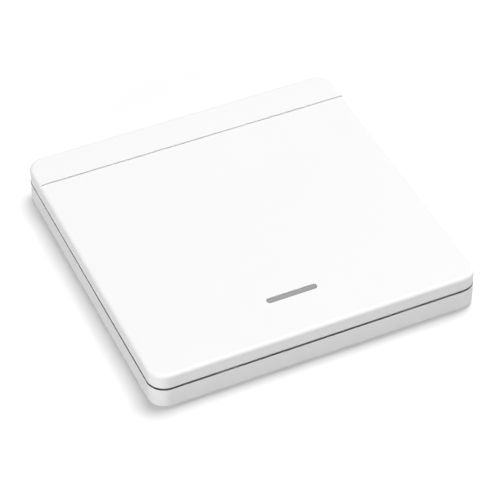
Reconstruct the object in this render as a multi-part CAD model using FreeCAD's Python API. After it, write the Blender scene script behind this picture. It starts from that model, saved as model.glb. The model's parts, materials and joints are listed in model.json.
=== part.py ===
import FreeCAD, Part
import os

from FreeCAD import Vector

# A battery-powered wireless wall switch of the standard 86 mm square size, lying on its back.
# The back face is z = 0 and +Z points out of the front. The lower end of the switch, with the
# indicator, points along -Y; the upper end, where the key pivots, points along +Y.
# Millimetres throughout. Every *_x, *_y and *_z value is a position, the others are sizes.

# Outer plate
plate_side = 86.0
plate_half = plate_side / 2
corner_radius = 4.6
rim_height = 6.2
front_gap = 0.5
back_gap = 0.16
key_edge_height = 3.9
key_top_z = rim_height + front_gap + key_edge_height

# How far an added feature reaches into the wall it grows from, how far a cut passes through,
# and how near two heights must be to count as one
root_depth = 0.6
roof_root_depth = 0.2
overshoot = 1.0
tolerance = 1e-6

# Rear housing
floor_thickness = 1.4
foot_edge_chamfer = 0.9
rim_land = 0.02
rim_slope = 1.0
lip_clearance = 0.3
lip_thickness = 0.9
lip_below_rim = 0.3

# Front key, a little smaller than the plate
key_inset = 0.12
key_wall = 1.1
key_roof = 1.5
key_edge_radius = 0.9
key_inner_chamfer = 0.9
key_lower_edge_chamfer = 0.06
groove_inset = 10.7
groove_width = 0.45
groove_depth = 0.6
rib_thickness = 0.8
rib_height = 1.0
rib_cell_margin = 4.3
rib_edge_inset = 12.0
rib_above_switch = 10.0
rib_below_switch = 9.0

# Values that follow from the plate
lip_outer_half = plate_half - key_wall - lip_clearance
cavity_half = lip_outer_half - lip_thickness
lip_top_z = rim_height - lip_below_rim
key_outer_half = plate_half - key_inset
key_inner_half = plate_half - key_wall
roof_z = key_top_z - key_roof
rib_bottom_z = roof_z - rib_height

# Pivot at the upper end: pins on the key snap into open bearings on the housing
hinge_inset = 4.4
hinge_y = plate_half - hinge_inset
hinge_above_rim = 0.2
hinge_z = rim_height + hinge_above_rim
hinge_pin_radius = 1.0
hinge_pin_end_inset = 0.3
hinge_running_clearance = 0.06
bearing_wall = 1.1
bearing_top_wall = 0.5
bearing_width = 3.0
bearing_inset = 15.0
bearing_x = plate_half - bearing_inset
bearing_mouth = 1.7
bearing_mouth_flare = 0.3
bearing_side_clearance = 0.3
lug_radius = 1.7
lug_width = 2.3

# Snap hooks at the lower end
hook_inset = 19.0
hook_x = plate_half - hook_inset
hook_width = 5.0
hook_leg = 1.0
hook_wall_gap = 1.1
hook_reach = 0.75
hook_rest_clearance = 0.1
hook_nose = 0.4
hook_slope = 1.0
ledge_reach = 0.8
ledge_height = 0.8
ledge_lead = 0.6
ledge_below_rim = 0.6
ledge_bottom_z = rim_height - ledge_below_rim
ledge_side_margin = 0.5

# Slots for the two screws of a standard wall box, 60.3 mm apart
slot_pitch = 60.3
slot_length = 7.0
slot_width = 4.4
slot_pad_margin = 2.4
slot_pad_height = 0.6

# Coin cell, 20 mm across and 3.2 mm thick
cell_radius = 10.0
cell_height = 3.2
cell_step = 0.25
cell_crimp_depth = 0.55
cell_cap_inset = 1.4
cell_cap_radius = cell_radius - cell_cap_inset
cell_gasket_thickness = 0.5
cell_gasket_inset = 0.15
cell_edge_chamfer = 0.3

# Cell holder, which reaches nearest to the roof of the key, so the heights inside follow from it
holder_floor = 0.6
holder_clearance = 0.15
holder_wall = 1.55
holder_wall_height = 3.4
holder_roof_clearance = 0.55
holder_claw_gap = 0.05
holder_claw_height = 0.5
holder_claw_reach = 0.8
holder_claw_width = 3.0
holder_claw_offset = 5.0
holder_push_gap = 8.0
holder_radius = cell_radius + holder_clearance + holder_wall
claw_top_z = roof_z - holder_roof_clearance
claw_bottom_z = claw_top_z - holder_claw_height
cell_top_z = claw_bottom_z - holder_claw_gap
cell_bottom_z = cell_top_z - cell_height

# Circuit board
board_thickness = 1.0
board_slot_margin = 3.65
board_front_inset = 9.0
board_back_inset = 13.0
board_corner_radius = 1.5
board_top_z = cell_bottom_z - holder_floor
board_bottom_z = board_top_z - board_thickness
board_half_width = slot_pitch / 2 - slot_length / 2 - board_slot_margin
board_front_y = -plate_half + board_front_inset
board_back_y = plate_half - board_back_inset
holder_back_inset = 4.3
cell_y = board_back_y - holder_back_inset - holder_radius

# Board screws and the bosses they are driven into
screw_inset_x = 3.0
screw_inset_y = 4.0
screw_shank_radius = 0.9
screw_head_radius = 1.9
screw_head_height = 1.2
screw_head_chamfer = 0.5
screw_recess_length = 2.2
screw_recess_width = 0.5
screw_recess_depth = 0.7
screw_end_above_floor = 0.5
screw_end_z = floor_thickness + screw_end_above_floor
boss_radius = 2.3
boss_hole_radius = 1.0
boss_hole_clearance = 0.2
boss_hole_end_z = screw_end_z - boss_hole_clearance
board_hole_radius = 1.15
floor_rib_thickness = 0.8
floor_rib_height = 1.0

# Indicator lens in the key
lens_x = -1.5
lens_inset = 13.1
lens_y = -plate_half + lens_inset
lens_length = 13.2
lens_width = 1.6
lens_clearance = 0.1
lens_recess = 0.2
lens_flange_margin = 0.9
lens_flange_height = 0.8
lens_collar_clearance = 0.1
lens_collar_wall = 0.8
lens_collar_height = 1.5

# Tact switch, 6 mm square, with a travel of 0.25 mm, half way between the cell holder and the lens
switch_y = (cell_y - holder_radius + lens_y) / 2
switch_side = 6.0
switch_base_height = 3.2
switch_travel = 0.25
switch_well_radius = 2.3
switch_well_floor = 1.4
switch_cover_thickness = 0.25
switch_cover_tab_width = 4.0
switch_cover_tab_drop = 1.2
stem_radius = 1.7
stem_running_clearance = 0.08
stem_flange_radius = 2.0
stem_top_clearance = 0.05
dome_radius = 2.15
dome_foot_width = 0.35
dome_crown_radius = 0.8
dome_pressed_height = 0.25
dome_height = switch_travel + dome_pressed_height
dome_thickness = 0.1
dome_clearance = 0.05
terminal_width = 0.7
terminal_thickness = 0.25
terminal_reach = 1.3
terminal_rise = 1.1
terminal_spacing = 4.5
press_boss_radius = 2.4
press_boss_height = 0.55
press_boss_clearance = 0.05
press_boss_bottom_z = roof_z - press_boss_height
switch_top_z = press_boss_bottom_z - press_boss_clearance

# Contacts of the cell holder
contact_sheet = 0.25
contact_bend_radius = 0.2
contact_plus_gap = 0.1
contact_plus_width = 5.0
contact_plus_foot = 2.4
contact_plus_reach = 1.8
contact_minus_width = 4.0
contact_minus_foot = 2.4
contact_window_margin = 0.4
contact_crest_half = 1.0
contact_ramp = 3.0
contact_tail = 1.5

# Light source below the lens
led_length = 2.0
led_width = 1.25
led_base_height = 0.3
led_dome_length = 1.3
led_dome_height = 0.5
led_dome_edge = 0.2

# Small components on the board, placed from the switch or from the board's lower edge
chip_position = (13.0, switch_y - 1.0)
chip_side = 5.0
chip_height = 0.9
crystal_position = (13.0, switch_y - 7.5)
crystal_size = (3.2, 2.5, 0.7)
crystal_corner_radius = 0.3
antenna_position = (-12.0, board_front_y + 2.5)
antenna_size = (7.0, 2.0, 0.8)
bulk_capacitor_position = (-14.0, switch_y)
bulk_capacitor_size = (4.3, 7.3, 2.8)
bulk_capacitor_chamfer = 0.4
small_capacitor_size = (1.6, 0.8, 0.8)
small_capacitor_places = ((8.0, 2.0), (8.0, -1.0), (18.0, 0.0), (18.0, -3.0), (9.0, -7.5), (-14.0, -7.0))
small_resistor_size = (1.6, 0.8, 0.45)
small_resistor_places = ((-6.5, -1.0), (-6.5, -3.0), (-14.0, -9.0), (-8.0, 5.5), (8.0, 5.5))


def box(x_low, x_high, y_low, y_high, z_low, z_high):
    return Part.makeBox(x_high - x_low, y_high - y_low, z_high - z_low, Vector(x_low, y_low, z_low))


def cylinder(radius, x, y, z_low, z_high):
    return Part.makeCylinder(radius, z_high - z_low, Vector(x, y, z_low))


def polygon_face(points):
    return Part.Face(Part.makePolygon(points + [points[0]]))


def prism_along_x(profile, x_low, x_high):
    # The profile is a list of (y, z) points
    face = polygon_face([Vector(x_low, y, z) for y, z in profile])
    return face.extrude(Vector(x_high - x_low, 0, 0))


def prism_along_y(profile, y_low, y_high):
    # The profile is a list of (x, z) points
    face = polygon_face([Vector(x, y_low, z) for x, z in profile])
    return face.extrude(Vector(0, y_high - y_low, 0))


def edges_where(shape, test):
    return [edge for edge in shape.Edges if all(test(vertex.Point) for vertex in edge.Vertexes)]


def edges_at_height(shape, z):
    return edges_where(shape, lambda point: abs(point.z - z) < tolerance)


def upright_edges(shape):
    found = []
    for edge in shape.Edges:
        if len(edge.Vertexes) == 2:
            step = edge.Vertexes[1].Point - edge.Vertexes[0].Point
            if abs(step.x) < tolerance and abs(step.y) < tolerance:
                found.append(edge)
    return found


def rounded_box(x_low, x_high, y_low, y_high, z_low, z_high, radius):
    block = box(x_low, x_high, y_low, y_high, z_low, z_high)
    return block.makeFillet(radius, upright_edges(block))


def rounded_square(half, radius, z_low, z_high):
    return rounded_box(-half, half, -half, half, z_low, z_high, radius)


def pill(x, y, length, width, z_low, z_high):
    # Long axis along X, with round ends
    radius = width / 2
    reach = length / 2 - radius
    body = box(x - reach, x + reach, y - radius, y + radius, z_low, z_high)
    left_end = cylinder(radius, x - reach, y, z_low, z_high)
    right_end = cylinder(radius, x + reach, y, z_low, z_high)
    return body.fuse([left_end, right_end]).removeSplitter()


def on_board(position, size, z_low):
    x, y = position
    length, width, height = size
    return box(x - length / 2, x + length / 2, y - width / 2, y + width / 2, z_low, z_low + height)


def export(name, shape):
    shape.exportStep("parts/" + name + ".step")


# Places shared by several pieces
screw_places = []
for side in (-1, 1):
    screw_x = side * (board_half_width - screw_inset_x)
    screw_places.append((screw_x, board_front_y + screw_inset_y))
    screw_places.append((screw_x, board_back_y - screw_inset_y))

well_floor_z = board_top_z + switch_well_floor
switch_base_top_z = board_top_z + switch_base_height
switch_cover_top_z = switch_base_top_z + switch_cover_thickness


# Rear housing: tray with a rim, a low inner lip, bearings, ledges, bosses and slots.
# Behind its thin edge the rim slopes down to the lip, so that the seam below the key reads dark.
def rear_housing():
    shell = rounded_square(plate_half, corner_radius, 0, rim_height)
    shell = shell.makeChamfer(foot_edge_chamfer, edges_at_height(shell, 0))
    land_half = plate_half - rim_land
    trough_z = rim_height - rim_slope
    trough = rounded_square(land_half, corner_radius - rim_land, trough_z, rim_height + overshoot)
    shell = shell.cut(trough.makeChamfer(rim_slope, edges_at_height(trough, trough_z)))
    lip_radius = corner_radius - (plate_half - lip_outer_half)
    cavity_radius = lip_radius - lip_thickness
    lip = rounded_square(lip_outer_half, lip_radius, floor_thickness, lip_top_z)
    shell = shell.fuse(lip)
    hollow = rounded_square(cavity_half, cavity_radius, floor_thickness, rim_height + overshoot)
    shell = shell.cut(hollow)

    root_z = floor_thickness - root_depth
    pad_top_z = floor_thickness + slot_pad_height
    pad_length = slot_length + 2 * slot_pad_margin
    pad_width = slot_width + 2 * slot_pad_margin
    additions = floor_ribs()
    for side in (-1, 1):
        additions.append(bearing_post(side))
        additions.append(snap_ledge(side))
        additions.append(pill(side * slot_pitch / 2, 0, pad_length, pad_width, root_z, pad_top_z))
    for x, y in screw_places:
        additions.append(cylinder(boss_radius, x, y, root_z, board_bottom_z))
    shell = shell.fuse(additions)

    holes = []
    for side in (-1, 1):
        slot_x = side * slot_pitch / 2
        holes.append(pill(slot_x, 0, slot_length, slot_width, -overshoot, pad_top_z + overshoot))
    for x, y in screw_places:
        holes.append(cylinder(boss_hole_radius, x, y, boss_hole_end_z, board_bottom_z + overshoot))
    return shell.cut(holes).removeSplitter()


def bearing_post(side):
    # An open bearing whose mouth is narrower than the pin, so that the key snaps in from the front
    bore_radius = hinge_pin_radius + hinge_running_clearance
    outer_radius = bore_radius + bearing_wall
    top_z = hinge_z + bore_radius + bearing_top_wall
    root_z = floor_thickness - root_depth
    x_low = side * bearing_x - bearing_width / 2
    x_high = side * bearing_x + bearing_width / 2
    post = box(x_low, x_high, hinge_y - outer_radius, hinge_y + outer_radius, root_z, top_z)
    bridge = box(x_low, x_high, hinge_y, cavity_half + root_depth, root_z, lip_top_z)
    start = Vector(x_low - overshoot, hinge_y, hinge_z)
    bore = Part.makeCylinder(bore_radius, bearing_width + 2 * overshoot, start, Vector(1, 0, 0))
    mouth_half = bearing_mouth / 2
    mouth = [
        (hinge_y - mouth_half, hinge_z),
        (hinge_y + mouth_half, hinge_z),
        (hinge_y + mouth_half, top_z - bearing_mouth_flare),
        (hinge_y + mouth_half + bearing_mouth_flare, top_z),
        (hinge_y + mouth_half + bearing_mouth_flare, top_z + overshoot),
        (hinge_y - mouth_half - bearing_mouth_flare, top_z + overshoot),
        (hinge_y - mouth_half - bearing_mouth_flare, top_z),
        (hinge_y - mouth_half, top_z - bearing_mouth_flare),
    ]
    return post.fuse(bridge).cut([bore, prism_along_x(mouth, x_low - overshoot, x_high + overshoot)])


def snap_ledge(side):
    # The ledge stands on a block that carries the lip up to its height
    wall_y = -cavity_half
    back_y = wall_y - lip_thickness
    tip_y = wall_y + ledge_reach
    root_z = lip_top_z - root_depth
    ledge_top_z = ledge_bottom_z + ledge_height
    profile = [
        (back_y, root_z),
        (wall_y, root_z),
        (wall_y, ledge_bottom_z),
        (tip_y, ledge_bottom_z),
        (tip_y, ledge_top_z),
        (wall_y, ledge_top_z + ledge_lead),
        (back_y, ledge_top_z + ledge_lead),
    ]
    half = hook_width / 2 + ledge_side_margin
    return prism_along_x(profile, side * hook_x - half, side * hook_x + half)


def floor_ribs():
    ribs = []
    half = floor_rib_thickness / 2
    low_z = floor_thickness - root_depth
    high_z = floor_thickness + floor_rib_height
    screw_x = board_half_width - screw_inset_x
    front_y = board_front_y + screw_inset_y
    back_y = board_back_y - screw_inset_y
    for side in (-1, 1):
        ribs.append(box(side * screw_x - half, side * screw_x + half, front_y, back_y, low_z, high_z))
    for y in (front_y, (front_y + back_y) / 2, back_y):
        ribs.append(box(-screw_x, screw_x, y - half, y + half, low_z, high_z))
    return ribs


# Front key: one moulding with a slanted lower edge, a soft upper edge and an engraved line
def front_key():
    low_z = rim_height - overshoot
    shell = rounded_square(key_outer_half, corner_radius - key_inset, low_z, key_top_z)
    shell = shell.makeFillet(key_edge_radius, edges_at_height(shell, key_top_z))
    reach = plate_half + overshoot
    rise = overshoot * (front_gap - back_gap) / plate_side
    front_z = rim_height + front_gap + rise
    back_z = rim_height + back_gap - rise
    below = [(-reach, 0), (reach, 0), (reach, back_z), (-reach, front_z)]
    shell = shell.cut(prism_along_x(below, -reach, reach))
    skirt_z = rim_height + front_gap + tolerance
    shell = shell.makeChamfer(key_lower_edge_chamfer, edges_where(shell, lambda point: point.z < skirt_z))

    hollow = rounded_square(key_inner_half, corner_radius - key_wall, 0, roof_z)
    shell = shell.cut(hollow.makeChamfer(key_inner_chamfer, edges_at_height(hollow, roof_z)))

    additions = key_ribs()
    additions.append(cylinder(press_boss_radius, 0, switch_y, press_boss_bottom_z, roof_z + roof_root_depth))
    collar = lens_size(lens_flange_margin + lens_collar_clearance + lens_collar_wall)
    additions.append(pill(lens_x, lens_y, *collar, roof_z - lens_collar_height, roof_z + roof_root_depth))
    for side in (-1, 1):
        additions.append(key_lug(side))
        additions.append(snap_hook(side))
    shell = shell.fuse(additions)

    low_y = plate_half - groove_inset - groove_width / 2
    groove_z = key_top_z - groove_depth
    flange_room = lens_size(lens_flange_margin + lens_collar_clearance)
    window = lens_size(lens_clearance)
    cuts = [
        box(-reach, reach, low_y, low_y + groove_width, groove_z, key_top_z + overshoot),
        pill(lens_x, lens_y, *flange_room, roof_z - lens_collar_height - overshoot, roof_z),
        pill(lens_x, lens_y, *window, roof_z - overshoot, key_top_z + overshoot),
    ]
    return shell.cut(cuts).removeSplitter()


def lens_size(margin):
    return lens_length + 2 * margin, lens_width + 2 * margin


def key_ribs():
    # A lattice under the roof that leaves the cell, the switch and the lens free
    half = rib_thickness / 2
    reach = key_inner_half + roof_root_depth
    top_z = roof_z + roof_root_depth
    inner_x = holder_radius + rib_cell_margin
    outer_x = plate_half - rib_edge_inset
    ribs = []
    for x in (-outer_x, -inner_x, inner_x, outer_x):
        ribs.append(box(x - half, x + half, -reach, reach, rib_bottom_z, top_z))
    for y in (plate_half - groove_inset, switch_y + rib_above_switch, switch_y - rib_below_switch):
        ribs.append(box(-reach, reach, y - half, y + half, rib_bottom_z, top_z))
    return ribs


def key_lug(side):
    # The lug stands on the inner side of its bearing and carries the pivot pin
    lug_outer_x = bearing_x - bearing_width / 2 - bearing_side_clearance
    lug_inner_x = lug_outer_x - lug_width
    pin_end_x = bearing_x + bearing_width / 2 - hinge_pin_end_inset
    along = Vector(side, 0, 0)
    start = Vector(side * lug_inner_x, hinge_y, hinge_z)
    eye = Part.makeCylinder(lug_radius, lug_width, start, along)
    x_low = min(side * lug_inner_x, side * lug_outer_x)
    x_high = max(side * lug_inner_x, side * lug_outer_x)
    web = box(x_low, x_high, hinge_y - lug_radius, hinge_y + lug_radius, hinge_z, roof_z + roof_root_depth)
    pin = Part.makeCylinder(hinge_pin_radius, pin_end_x - lug_inner_x, start, along)
    return eye.fuse([web, pin])


def snap_hook(side):
    outer_y = -cavity_half + hook_wall_gap
    inner_y = outer_y + hook_leg
    tip_y = outer_y - hook_reach
    catch_z = ledge_bottom_z - hook_rest_clearance
    profile = [
        (outer_y, roof_z + roof_root_depth),
        (outer_y, catch_z),
        (tip_y, catch_z),
        (tip_y, catch_z - hook_nose),
        (outer_y, catch_z - hook_nose - hook_slope),
        (inner_y, catch_z - hook_nose - hook_slope),
        (inner_y, roof_z + roof_root_depth),
    ]
    return prism_along_x(profile, side * hook_x - hook_width / 2, side * hook_x + hook_width / 2)


# Indicator lens, pushed into the key from behind up to its flange
def indicator_lens():
    window = pill(lens_x, lens_y, *lens_size(0), roof_z - roof_root_depth, key_top_z - lens_recess)
    flange = pill(lens_x, lens_y, *lens_size(lens_flange_margin), roof_z - lens_flange_height, roof_z)
    return window.fuse(flange).removeSplitter()


def circuit_board():
    board = rounded_box(
        -board_half_width,
        board_half_width,
        board_front_y,
        board_back_y,
        board_bottom_z,
        board_top_z,
        board_corner_radius,
    )
    holes = [cylinder(board_hole_radius, x, y, board_bottom_z, board_top_z) for x, y in screw_places]
    return board.cut(holes)


# One pan-head screw with a cross recess, repeated at each boss
def board_screws():
    profile = [
        (0, screw_end_z),
        (screw_shank_radius, screw_end_z),
        (screw_shank_radius, board_top_z),
        (screw_head_radius, board_top_z),
        (screw_head_radius, board_top_z + screw_head_height - screw_head_chamfer),
        (screw_head_radius - screw_head_chamfer, board_top_z + screw_head_height),
        (0, board_top_z + screw_head_height),
    ]
    face = polygon_face([Vector(radius, 0, z) for radius, z in profile])
    screw = face.revolve(Vector(0, 0, 0), Vector(0, 0, 1), 360)
    arm = screw_recess_length / 2
    half = screw_recess_width / 2
    top_z = board_top_z + screw_head_height
    cross = [
        box(-arm, arm, -half, half, top_z - screw_recess_depth, top_z),
        box(-half, half, -arm, arm, top_z - screw_recess_depth, top_z),
    ]
    screw = screw.cut(cross)
    return Part.makeCompound([screw.translated(Vector(x, y, 0)) for x, y in screw_places])


def tact_switch_base():
    half = switch_side / 2
    block = box(-half, half, switch_y - half, switch_y + half, board_top_z, switch_base_top_z)
    return block.cut(cylinder(switch_well_radius, 0, switch_y, well_floor_z, switch_base_top_z))


def tact_switch_cover():
    half = switch_side / 2
    tab_half = switch_cover_tab_width / 2
    outer = half + switch_cover_thickness
    plate = box(-half, half, switch_y - outer, switch_y + outer, switch_base_top_z, switch_cover_top_z)
    tab_low_z = switch_base_top_z - switch_cover_tab_drop
    tabs = [
        box(-tab_half, tab_half, switch_y - outer, switch_y - half, tab_low_z, switch_cover_top_z),
        box(-tab_half, tab_half, switch_y + half, switch_y + outer, tab_low_z, switch_cover_top_z),
    ]
    opening = cylinder(stem_radius + stem_running_clearance, 0, switch_y, tab_low_z, switch_cover_top_z)
    return plate.fuse(tabs).cut(opening).removeSplitter()


def tact_switch_terminals():
    half = switch_side / 2
    leads = []
    for side in (-1, 1):
        profile = [
            (side * half, board_top_z),
            (side * (half + terminal_reach), board_top_z),
            (side * (half + terminal_reach), board_top_z + terminal_thickness),
            (side * (half + terminal_thickness), board_top_z + terminal_thickness),
            (side * (half + terminal_thickness), board_top_z + terminal_rise),
            (side * half, board_top_z + terminal_rise),
        ]
        for end in (-1, 1):
            centre_y = switch_y + end * terminal_spacing / 2
            leads.append(prism_along_y(profile, centre_y - terminal_width / 2, centre_y + terminal_width / 2))
    return Part.makeCompound(leads)


# Snap dome of the switch: a thin shallow cone with a flat crown, standing on the floor of the well
def tact_switch_dome():
    crown_z = well_floor_z + dome_height
    profile = [
        (dome_radius - dome_foot_width, well_floor_z),
        (dome_radius, well_floor_z),
        (dome_crown_radius, crown_z),
        (0, crown_z),
        (0, crown_z - dome_thickness),
        (dome_crown_radius, crown_z - dome_thickness),
    ]
    face = polygon_face([Vector(radius, 0, z) for radius, z in profile])
    dome = face.revolve(Vector(0, 0, 0), Vector(0, 0, 1), 360)
    return dome.translated(Vector(0, switch_y, 0))


# Moving stem of the switch, held down by the cover
def tact_switch_plunger():
    flange_bottom_z = well_floor_z + dome_height + dome_clearance
    flange_top_z = switch_base_top_z - stem_top_clearance
    flange = cylinder(stem_flange_radius, 0, switch_y, flange_bottom_z, flange_top_z)
    stem = cylinder(stem_radius, 0, switch_y, flange_bottom_z, switch_top_z)
    return flange.fuse(stem).removeSplitter()


def coin_cell_can():
    can = cylinder(cell_radius, 0, cell_y, cell_bottom_z + cell_step, cell_top_z)
    can = can.makeChamfer(cell_edge_chamfer, edges_at_height(can, cell_top_z))
    crimp_radius = cell_cap_radius + cell_gasket_thickness
    seat_top_z = cell_bottom_z + cell_step + cell_crimp_depth
    return can.cut(cylinder(crimp_radius, 0, cell_y, cell_bottom_z, seat_top_z))


def coin_cell_cap():
    seat_top_z = cell_bottom_z + cell_step + cell_crimp_depth
    return cylinder(cell_cap_radius, 0, cell_y, cell_bottom_z, seat_top_z)


def coin_cell_gasket():
    low_z = cell_bottom_z + cell_gasket_inset
    seat_top_z = cell_bottom_z + cell_step + cell_crimp_depth
    ring = cylinder(cell_cap_radius + cell_gasket_thickness, 0, cell_y, low_z, seat_top_z)
    return ring.cut(cylinder(cell_cap_radius, 0, cell_y, low_z, seat_top_z))


def battery_holder():
    pocket_radius = cell_radius + holder_clearance
    wall_top_z = board_top_z + holder_wall_height
    body = cylinder(holder_radius, 0, cell_y, board_top_z, wall_top_z)
    tower = cylinder(holder_radius, 0, cell_y, board_top_z, claw_top_z)
    claws = []
    for end in (-1, 1):
        low_y = cell_y + end * holder_claw_offset - holder_claw_width / 2
        claws.append(box(-holder_radius, 0, low_y, low_y + holder_claw_width, board_top_z, claw_top_z))
    body = body.fuse(tower.common(claws[0].fuse(claws[1])))
    gap_half = holder_push_gap / 2
    window_half = contact_minus_width / 2 + contact_window_margin
    window_end_x = contact_crest_half + contact_ramp + contact_tail + contact_window_margin
    low_y = cell_y - window_half
    cuts = [
        cylinder(pocket_radius, 0, cell_y, cell_bottom_z, claw_bottom_z),
        cylinder(cell_radius - holder_claw_reach, 0, cell_y, claw_bottom_z, claw_top_z),
        box(-gap_half, gap_half, cell_y, cell_y + holder_radius, cell_bottom_z, wall_top_z),
        box(-holder_radius, window_end_x, low_y, low_y + 2 * window_half, board_top_z, cell_bottom_z),
    ]
    return body.cut(cuts).removeSplitter()


# Contact for the can: a strip from the board, up beside the holder and over the edge of the cell
def battery_positive_contact():
    inner_x = holder_radius + contact_plus_gap
    outer_x = inner_x + contact_sheet
    foot_x = outer_x + contact_plus_foot
    tip_x = cell_radius - contact_plus_reach
    profile = [
        (inner_x, board_top_z),
        (foot_x, board_top_z),
        (foot_x, board_top_z + contact_sheet),
        (outer_x, board_top_z + contact_sheet),
        (outer_x, cell_top_z + contact_sheet),
        (tip_x, cell_top_z + contact_sheet),
        (tip_x, cell_top_z),
        (inner_x, cell_top_z),
    ]
    half = contact_plus_width / 2
    strip = prism_along_y(profile, cell_y - half, cell_y + half)
    top_edges = edges_at_height(strip, cell_top_z + contact_sheet)
    bend = [edge for edge in top_edges if abs(edge.CenterOfMass.x - outer_x) < tolerance]
    return strip.makeFillet(contact_bend_radius, bend)


# Contact for the cap: a strip on the board with a raised crest below the middle of the cell
def battery_negative_contact():
    start_x = -holder_radius - contact_minus_foot
    ramp_start_x = -contact_crest_half - contact_ramp
    ramp_end_x = contact_crest_half + contact_ramp
    end_x = ramp_end_x + contact_tail
    low_z = board_top_z
    crest_z = cell_bottom_z
    profile = [
        (start_x, low_z),
        (ramp_start_x, low_z),
        (-contact_crest_half, crest_z - contact_sheet),
        (contact_crest_half, crest_z - contact_sheet),
        (ramp_end_x, low_z),
        (end_x, low_z),
        (end_x, low_z + contact_sheet),
        (ramp_end_x, low_z + contact_sheet),
        (contact_crest_half, crest_z),
        (-contact_crest_half, crest_z),
        (ramp_start_x, low_z + contact_sheet),
        (start_x, low_z + contact_sheet),
    ]
    half = contact_minus_width / 2
    return prism_along_y(profile, cell_y - half, cell_y + half)


# Light source under the lens: a carrier with a clear dome moulded on it
def status_led():
    carrier = on_board((lens_x, lens_y), (led_length, led_width, led_base_height), board_top_z)
    dome_low_z = board_top_z + led_base_height
    dome_top_z = dome_low_z + led_dome_height
    dome = on_board((lens_x, lens_y), (led_dome_length, led_width, led_dome_height), dome_low_z)
    dome = dome.makeFillet(led_dome_edge, edges_at_height(dome, dome_top_z))
    return carrier.fuse(dome).removeSplitter()


def crystal_can():
    length, width, height = crystal_size
    x, y = crystal_position
    return rounded_box(
        x - length / 2,
        x + length / 2,
        y - width / 2,
        y + width / 2,
        board_top_z,
        board_top_z + height,
        crystal_corner_radius,
    )


def bulk_capacitor():
    block = on_board(bulk_capacitor_position, bulk_capacitor_size, board_top_z)
    top_z = board_top_z + bulk_capacitor_size[2]
    return block.makeChamfer(bulk_capacitor_chamfer, edges_at_height(block, top_z))


def beside_switch(places, size):
    # Each place is measured from the middle of the switch
    return Part.makeCompound([on_board((x, switch_y + y), size, board_top_z) for x, y in places])


os.makedirs("parts", exist_ok=True)
export("rear_housing", rear_housing())
export("front_key", front_key())
export("indicator_lens", indicator_lens())
export("circuit_board", circuit_board())
export("board_screws", board_screws())
export("tact_switch_base", tact_switch_base())
export("tact_switch_cover", tact_switch_cover())
export("tact_switch_terminals", tact_switch_terminals())
export("tact_switch_dome", tact_switch_dome())
export("tact_switch_plunger", tact_switch_plunger())
export("coin_cell_can", coin_cell_can())
export("coin_cell_cap", coin_cell_cap())
export("coin_cell_gasket", coin_cell_gasket())
export("battery_holder", battery_holder())
export("battery_positive_contact", battery_positive_contact())
export("battery_negative_contact", battery_negative_contact())
export("status_led", status_led())
export("controller_chip", on_board(chip_position, (chip_side, chip_side, chip_height), board_top_z))
export("crystal_can", crystal_can())
export("chip_antenna", on_board(antenna_position, antenna_size, board_top_z))
export("bulk_capacitor", bulk_capacitor())
export("chip_capacitors", beside_switch(small_capacitor_places, small_capacitor_size))
export("chip_resistors", beside_switch(small_resistor_places, small_resistor_size))
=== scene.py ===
import json
import math

import bmesh
import bpy
from mathutils import Matrix, Vector


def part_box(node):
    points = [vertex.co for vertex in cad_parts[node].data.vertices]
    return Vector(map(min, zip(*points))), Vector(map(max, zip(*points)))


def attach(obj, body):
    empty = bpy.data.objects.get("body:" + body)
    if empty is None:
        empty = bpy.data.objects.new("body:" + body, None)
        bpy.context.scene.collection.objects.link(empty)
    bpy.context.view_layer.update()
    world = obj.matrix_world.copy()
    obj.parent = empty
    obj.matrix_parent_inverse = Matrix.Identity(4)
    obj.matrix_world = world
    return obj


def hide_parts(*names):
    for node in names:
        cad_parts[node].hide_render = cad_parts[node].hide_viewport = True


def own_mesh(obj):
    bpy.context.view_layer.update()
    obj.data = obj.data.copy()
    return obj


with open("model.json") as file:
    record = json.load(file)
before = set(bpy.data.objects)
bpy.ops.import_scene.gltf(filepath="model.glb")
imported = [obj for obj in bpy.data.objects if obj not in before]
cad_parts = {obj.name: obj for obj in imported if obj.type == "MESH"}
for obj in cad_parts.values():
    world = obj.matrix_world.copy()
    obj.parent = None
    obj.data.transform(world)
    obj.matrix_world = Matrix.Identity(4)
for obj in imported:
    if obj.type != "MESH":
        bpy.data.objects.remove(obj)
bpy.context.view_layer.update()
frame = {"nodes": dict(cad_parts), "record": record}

MM = 0.001
nodes = frame["nodes"]

# Camera, found from the edges of the switch: degrees, millimetres and pixels of the 500 px frame
CAMERA_AZIMUTH = -23.895
CAMERA_ELEVATION = 43.11
CAMERA_ROLL = -0.772
CAMERA_DISTANCE = 552.03
CAMERA_TARGET = (-2.385, -7.459, 6.17)
FOCAL_LENGTH_PX = 2226.6
FRAME_PX = 500
SENSOR_MM = 36.0

# Floor and lamps: metres, and for each lamp azimuth, elevation, diameter and level
FLOOR_HALF = 4.0
FLOOR_SHADE = "#A0A0A0"
FLOOR_LIFT = 0.06
FLOOR_DROP = 0.00002
FLOOR_WHITE_FROM = 0.12
FLOOR_WHITE_AT = 0.6
LAMP_DISTANCE = 3.0
LAMPS = {
    "overhead_lamp": (124.0, 71.0, 2.0, 0.853),
    "left_fill_lamp": (-100.0, 71.0, 2.0, 0.144),
    "corner_lamp": (-47.0, 8.0, 0.75, 0.67),
    "right_lamp": (85.0, 8.0, 0.75, 0.461),
}

# What materials have in common: white, a metal, and the refractive indices of plastics and ceramics
WHITE = (1.0, 1.0, 1.0, 1.0)
METAL = {"Metallic": 1.0}
ABS_IOR = 1.53
NYLON_IOR = 1.53
ACETAL_IOR = 1.48
POLYCARBONATE_IOR = 1.585
EPOXY_IOR = 1.55
CERAMIC_IOR = 1.7

# A wave texture repeats every 2 pi / 20 of its coordinate at a scale of 1
WAVE_PERIOD = 2 * math.pi / 20

# Meshes: metres, degrees, and millimetres inside the trees
MERGE_DISTANCE = 1e-6
CREASE_DEGREES = 32.0
SEAM_MM = 1e-4


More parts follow.
